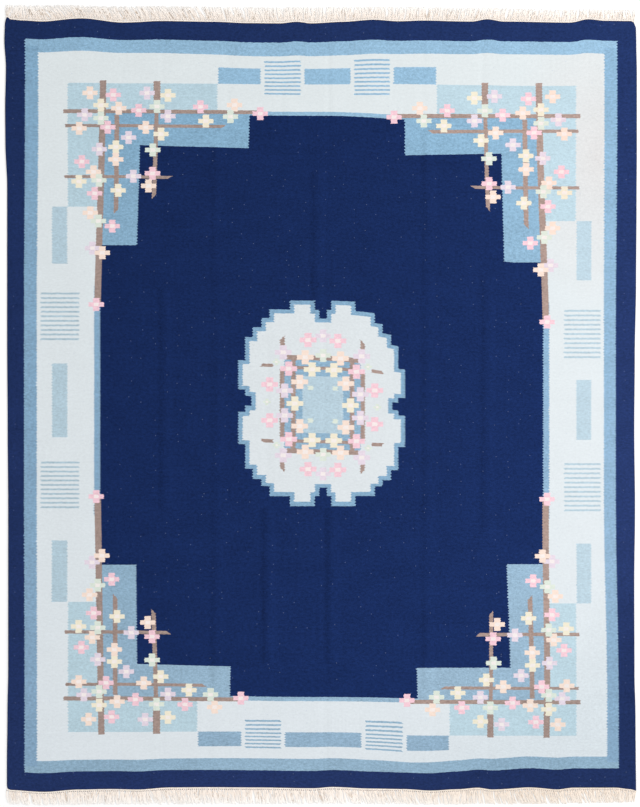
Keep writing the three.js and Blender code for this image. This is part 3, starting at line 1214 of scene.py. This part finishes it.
class GrowthDesk(Desk):
    """Adds nodes to a tree of geometry, and holds its named inputs."""

    def __init__(self, tree: bpy.types.NodeTree, kinds: dict[str, str]) -> None:
        """Starts on a tree, and gives it its inputs and its output.

        Args:
            tree: The tree that the nodes go into.
            kinds: The socket type of each named input.
        """
        super().__init__(tree)
        sockets = tree.interface
        sockets.new_socket("Geometry", in_out="INPUT", socket_type="NodeSocketGeometry")
        self.keys = {
            label: sockets.new_socket(label, in_out="INPUT", socket_type=kind).identifier
            for label, kind in kinds.items()
        }
        sockets.new_socket("Geometry", in_out="OUTPUT", socket_type="NodeSocketGeometry")
        given = self.node("NodeGroupInput")
        self.inputs = {label: self.wire(given, label) for label in ("Geometry", *kinds)}

    def stored(self, geometry: Wire, name: str, value: Wire | Number) -> Wire:
        """Keeps a value on each point under a name.

        Args:
            geometry: The geometry.
            name: The name.
            value: The value.

        Returns:
            The geometry with it.
        """
        settings = {"data_type": "FLOAT", "domain": "POINT"}
        values = {"Geometry": geometry, "Name": name, "Value": value}
        return self.result("GeometryNodeStoreNamedAttribute", settings, values)

    def kept(self, name: str) -> Wire:
        """A value kept on the points under a name."""
        return self.result("GeometryNodeInputNamedAttribute", {"data_type": "FLOAT"}, {"Name": name})

    def chance(self, salt: int, low: float, high: float) -> Wire:
        """A random value for each point, another for each salt."""
        values = {"Min": low, "Max": high, "Seed": self.inputs["Seed"] + salt}
        return self.result("FunctionNodeRandomValue", {"data_type": "FLOAT"}, values, "Value")

    def points(self, line: Wire, count: str) -> Wire:
        """As many points along a line as an input says."""
        values = {"Curve": line, "Count": self.inputs[count]}
        return self.result("GeometryNodeCurveToPoints", {"mode": "COUNT"}, values, "Points")

    def set_out(self, points: Wire, piece: Wire, turn: Wire, scale: Wire | tuple[float, ...]) -> Wire:
        """A piece set on each point, turned and scaled, and then made real.

        Args:
            points: The points.
            piece: The piece.
            turn: How far it is turned about Z.
            scale: Its size along each axis.

        Returns:
            All of them.
        """
        values = {"Points": points, "Instance": piece, "Rotation": self.vector(0, 0, turn), "Scale": scale}
        standing = self.result("GeometryNodeInstanceOnPoints", None, values)
        return self.result("GeometryNodeRealizeInstances", None, {"Geometry": standing})

    def moved(self, geometry: Wire, offset: Wire) -> Wire:
        """The geometry moved by an offset and shaded smooth."""
        moved = self.result("GeometryNodeSetPosition", None, {"Geometry": geometry, "Offset": offset})
        return self.result("GeometryNodeSetShadeSmooth", None, {"Geometry": moved})


class End(Enum):
    """The rug's two ends: the node that stands for the fringe, and which way its yarns run."""

    FAR = ("fringe_far", 1)
    NEAR = ("fringe_near", -1)

    @property
    def node(self) -> str:
        """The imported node."""
        return self.value[0]

    @property
    def way(self) -> int:
        """1 towards +Y and -1 towards -Y."""
        return self.value[1]


@dataclass
class Fringe:
    """The warp ends left long at one end, as two-ply yarns, and the twined line that holds them."""

    end: End
    name: str
    lies: Rows
    waves: Rows
    seed: int
    weave: Weave = field(default_factory=Weave)
    yarns: int = 1150
    steps: int = 9
    sides: int = 4
    ply_radius: float = 0.00125
    ply_spread: float = 0.001  # how far a ply lies to the side of its yarn's middle
    ply_lift: float = 0.0003  # and above or below it
    turns: float = 4.5
    clump_waves: float = 24  # in a metre, of how yarns clump together
    clump: float = 2.0
    stray: float = 0.48  # how far each yarn may stray to a side on its own, against its reach
    stack: float = 0.0006  # the most that it lies above the lowest ones
    cut: tuple[float, float] = (0.88, 1.02)  # its shortest and its longest reach, in shares
    curl: float = 0.0016
    knot_step: float = 0.0064
    knot_size: tuple[float, float, float] = (0.0034, 0.0015, 0.0015)
    knot_slant: float = 0.6
    knot_sway: float = 0.12
    knot_out: float = 0.0022
    knot_height: float = 0.0026
    root_gap: float = 0.0003
    rest_height: float = 0.0020
    evened: float = 0.8  # the share of the cloth's waves that the trimmed tips don't follow
    trim: float = 0.97
    edge_points: int = 400

    def _edge(self) -> bpy.types.Object:
        """A line along the cloth's end whose points carry the yarns' reach and lean.

        Returns:
            The line's object.
        """
        half_width, half_length = self.weave.width / 2, self.weave.length / 2
        across = np.linspace(-half_width, half_width, self.edge_points)
        x, y = self.weave.laid(across, np.full_like(across, self.end.way * half_length))
        mesh = bpy.data.meshes.new(self.name)
        points = np.stack([x, y + self.end.way * self.root_gap, np.zeros_like(x)], -1)
        mesh.from_pydata(points.tolist(), [(i, i + 1) for i in range(len(x) - 1)], [])
        waves, reach = (read(table, 1, across / MM, True) for table in (self.waves, self.lies))
        reach = (reach * self.trim - waves * self.evened) * MM
        for name, values in (("reach", reach), ("lean", read(self.lies, 2, across / MM, True))):
            attribute = mesh.attributes.new(name, "FLOAT", "POINT")
            attribute.data.foreach_set("value", values.astype(np.float32))
        return link(bpy.data.objects.new(self.name, mesh))

    def _inputs(self) -> dict[str, tuple[str, Number]]:
        """The tree's named inputs but its material, each with its socket type and value.

        Returns:
            They, by name.
        """
        whole = {
            "Yarns": self.yarns,
            "Yarn Steps": self.steps,
            "Ply Sides": self.sides,
            "Knots": round(self.weave.width / self.knot_step),
            "Seed": self.seed,
        }
        measured = {
            "Ply Radius": self.ply_radius,
            "Ply Spread": self.ply_spread,
            "Ply Lift": self.ply_lift,
            "Turns": self.turns,
            "Heading": 0.0 if self.end.way > 0 else math.pi,
            "Rest Height": self.rest_height,
            "Knot Slant": self.knot_slant,
            "Knot Out": self.knot_out * self.end.way,
            "Knot Height": self.knot_height,
        }
        kinds = (("NodeSocketInt", whole), ("NodeSocketFloat", measured))
        return {label: (kind, value) for kind, group in kinds for label, value in group.items()}

    def build(self, cotton: bpy.types.Material) -> bpy.types.Object:
        """Grows the fringe and leaves it as a plain mesh.

        Args:
            cotton: The material of its yarns.

        Returns:
            The finished object.
        """
        inputs = {**self._inputs(), "Cotton": ("NodeSocketMaterial", cotton)}
        tree = bpy.data.node_groups.new(f"{self.name}_tree", "GeometryNodeTree")
        desk = GrowthDesk(tree, {label: kind for label, (kind, _) in inputs.items()})
        self._grow(desk)
        made = self._edge()
        grower = made.modifiers.new("grown", "NODES")
        grower.node_group = tree
        for label, (_, value) in inputs.items():
            grower[desk.keys[label]] = value
        graph = bpy.context.evaluated_depsgraph_get()
        real = made.evaluated_get(graph)
        grown = bpy.data.meshes.new_from_object(real, preserve_all_data_layers=True, depsgraph=graph)
        made.modifiers.clear()
        line, made.data = made.data, grown
        bpy.data.meshes.remove(line)
        grown.name = self.name
        return made

    def _grow(self, desk: GrowthDesk) -> None:
        """Adds the tree's nodes: yarns and knots on the line, realized, laid and given their cotton.

        Args:
            desk: The tree.
        """
        line = desk.result("GeometryNodeMeshToCurve", None, {"Mesh": desk.inputs["Geometry"]})
        joined = desk.node("GeometryNodeJoinGeometry")
        for part in (self._laid(desk, self._yarns(desk, line)), self._knots(desk, line)):
            desk.tree.links.new(part.socket, joined.inputs[0])
        values = {"Geometry": desk.wire(joined), "Material": desk.inputs["Cotton"]}
        dressed = desk.result("GeometryNodeSetMaterial", None, values)
        desk.node("NodeGroupOutput", values={"Geometry": dressed})

    @staticmethod
    def _strand(desk: GrowthDesk) -> Wire:
        """One straight two-ply yarn, one unit long, that carries its share of the length and its ply.

        Args:
            desk: The tree.

        Returns:
            The yarn's mesh.
        """
        line = desk.result("GeometryNodeCurvePrimitiveLine", None, {"Start": (0, 0, 0), "End": (0, 1, 0)})
        values = {"Curve": line, "Count": desk.inputs["Yarn Steps"]}
        line = desk.result("GeometryNodeResampleCurve", {"mode": "COUNT"}, values)
        share = desk.result("GeometryNodeSplineParameter", None, None, "Factor")
        values = {"Geometry": desk.stored(line, "share", share), "Amount": 2}
        double = desk.node("GeometryNodeDuplicateElements", {"domain": "SPLINE"}, values)
        line = desk.stored(desk.wire(double), "ply", desk.wire(double, "Duplicate Index"))
        taper = 1.05 - share * share * share * 0.4
        line = desk.result("GeometryNodeSetCurveRadius", None, {"Curve": line, "Radius": taper})
        ring = {"Resolution": desk.inputs["Ply Sides"], "Radius": desk.inputs["Ply Radius"]}
        ring = desk.result("GeometryNodeCurvePrimitiveCircle", {"mode": "RADIUS"}, ring)
        values = {"Curve": line, "Profile Curve": ring, "Fill Caps": True}
        return desk.result("GeometryNodeCurveToMesh", None, values)

    def _yarns(self, desk: GrowthDesk, line: Wire) -> Wire:
        """All yarns of the end, still straight, realized.

        Args:
            desk: The tree.
            line: The line that they start from.

        Returns:
            The yarns.
        """
        x, _, _ = desk.parts(desk.result("GeometryNodeInputPosition"))
        layer = desk.chance(6, 0, 1) > 0.5
        clump = desk.noise(desk.vector(x * self.clump_waves, desk.inputs["Seed"] + layer * 7)) - 0.5
        kept = {
            "stray": clump * self.clump + desk.chance(1, -self.stray, self.stray),
            "phase": desk.chance(2, 0, 6.28),
            "shade": desk.chance(3, 0, 1),
            "stack": desk.chance(5, 0, self.stack),
            "reach": desk.kept("reach") * desk.chance(4, *self.cut),
        }
        points = desk.points(line, "Yarns")
        for name, value in kept.items():
            points = desk.stored(points, name, value)
        scale = desk.vector(1, desk.kept("reach"), 1)
        return desk.set_out(points, self._strand(desk), desk.inputs["Heading"], scale)

    def _laid(self, desk: GrowthDesk, yarns: Wire) -> Wire:
        """Twists the yarns, bends them and lays them on the floor.

        Args:
            desk: The tree.
            yarns: The straight yarns.

        Returns:
            The laid yarns.
        """
        inputs = desk.inputs
        names = ("share", "phase", "stray", "reach", "ply", "lean", "stack")
        share, phase, stray, reach, ply, lean, stack = (desk.kept(name) for name in names)
        twist = share * inputs["Turns"] * TURN + ply * math.pi + phase
        bend = lean * (share ** 1.3) + stray * share * (1.15 - share * 0.5)
        curl = (share * 5 + phase).sine() * share * self.curl
        sideways = bend * reach + curl + twist.cosine() * inputs["Ply Spread"]
        up = inputs["Rest Height"] + stack + twist.sine() * inputs["Ply Lift"]
        return desk.moved(yarns, desk.vector(sideways, 0, up))

    def _knots(self, desk: GrowthDesk, line: Wire) -> Wire:
        """The twined line: slanted stitches side by side along the cloth's end, realized.

        Args:
            desk: The tree.
            line: The line that they lie on.

        Returns:
            The stitches.
        """
        points = desk.stored(desk.points(line, "Knots"), "shade", desk.chance(7, 0, 0.8))
        points = desk.stored(points, "share", 0.9)
        ball = {"Segments": 8, "Rings": 5, "Radius": 1.0}
        ball = desk.result("GeometryNodeMeshUVSphere", None, ball)
        slant = desk.inputs["Knot Slant"] + desk.chance(8, -self.knot_sway, self.knot_sway)
        offset = desk.vector(0, desk.inputs["Knot Out"], desk.inputs["Knot Height"])
        return desk.moved(desk.set_out(points, ball, slant, self.knot_size), offset)


@dataclass(frozen=True)
class Studio:
    """The pale floor, the soft light and the camera straight above the rug."""

    floor_side: float = 16.0
    floor_tone: float = 0.97
    sky: float = 0.882
    key_power: float = 250.0
    key_size: float = 3.5
    key_place: tuple[float, float, float] = (6.0, 1.0, 4.6)
    camera_place: tuple[float, float, float] = (-0.0012, 0.0046, 8.67)
    lens: float = 100.0

    def build(self) -> None:
        """Adds them all to the scene."""
        self._floor()
        self._light()
        self._camera()
        bpy.context.scene.view_settings.view_transform = "Standard"

    def _floor(self) -> None:
        """A flat pale floor under the rug."""
        half = self.floor_side / 2
        mesh = bpy.data.meshes.new(FLOOR_NAME)
        corners = [(-half, -half, 0), (half, -half, 0), (half, half, 0), (-half, half, 0)]
        mesh.from_pydata(corners, [], [(0, 1, 2, 3)])
        paint = bpy.data.materials.new("floor_paint")
        paint.use_nodes = True
        shader = paint.node_tree.nodes["Principled BSDF"]
        shader.inputs["Base Color"].default_value = (self.floor_tone, self.floor_tone, self.floor_tone, 1)
        shader.inputs["Roughness"].default_value = 0.9
        shader.inputs["Specular IOR Level"].default_value = 0.1
        mesh.materials.append(paint)
        link(bpy.data.objects.new(FLOOR_NAME, mesh))

    def _light(self) -> None:
        """An even sky, and one large soft lamp up on the right."""
        world = bpy.data.worlds.new("studio")
        world.use_nodes = True
        background = world.node_tree.nodes["Background"]
        background.inputs["Color"].default_value = (1, 1, 1, 1)
        background.inputs["Strength"].default_value = self.sky
        bpy.context.scene.world = world
        lamp = bpy.data.lights.new("key", "AREA")
        lamp.shape = "DISK"
        lamp.size = self.key_size
        lamp.energy = self.key_power
        key = link(bpy.data.objects.new("key", lamp))
        key.location = self.key_place
        key.rotation_euler = (-Vector(self.key_place)).to_track_quat("-Z", "Y").to_euler()
        key.visible_camera = False

    def _camera(self) -> None:
        """The photograph's view, straight down."""
        data = bpy.data.cameras.new("above")
        data.lens = self.lens
        data.clip_end = 100
        camera = link(bpy.data.objects.new("above", data))
        camera.location = self.camera_place
        bpy.context.scene.camera = camera


def fit(piece: bpy.types.Object, node: str) -> None:
    """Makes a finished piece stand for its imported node.

    Args:
        piece: The piece.
        node: The node that it replaces.
    """
    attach(piece, BODY)
    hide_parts(node)
    triangles = sum(len(p.vertices) - 2 for p in piece.data.polygons)
    LOG.info("%s: %d triangles", piece.name, triangles)


def main() -> None:
    """Builds the studio, the cloth and both fringes, and says what each is."""
    logging.basicConfig(level=logging.INFO, format="%(name)s %(message)s")
    Studio().build()
    weave = Weave()
    cloth = Cloth(weave).build()
    cloth.data.materials.append(WovenFinish().build(weave))
    fit(cloth, "cloth")
    cotton = YarnFinish().build()
    far = Fringe(End.FAR, "far_fringe_yarns", FAR_LIES, FAR_WAVES, 11, weave).build(cotton)
    fit(far, End.FAR.node)
    near = Fringe(End.NEAR, "near_fringe_yarns", NEAR_LIES, NEAR_WAVES, 29, weave).build(cotton)
    fit(near, End.NEAR.node)


if __name__ == "__main__":
    main()
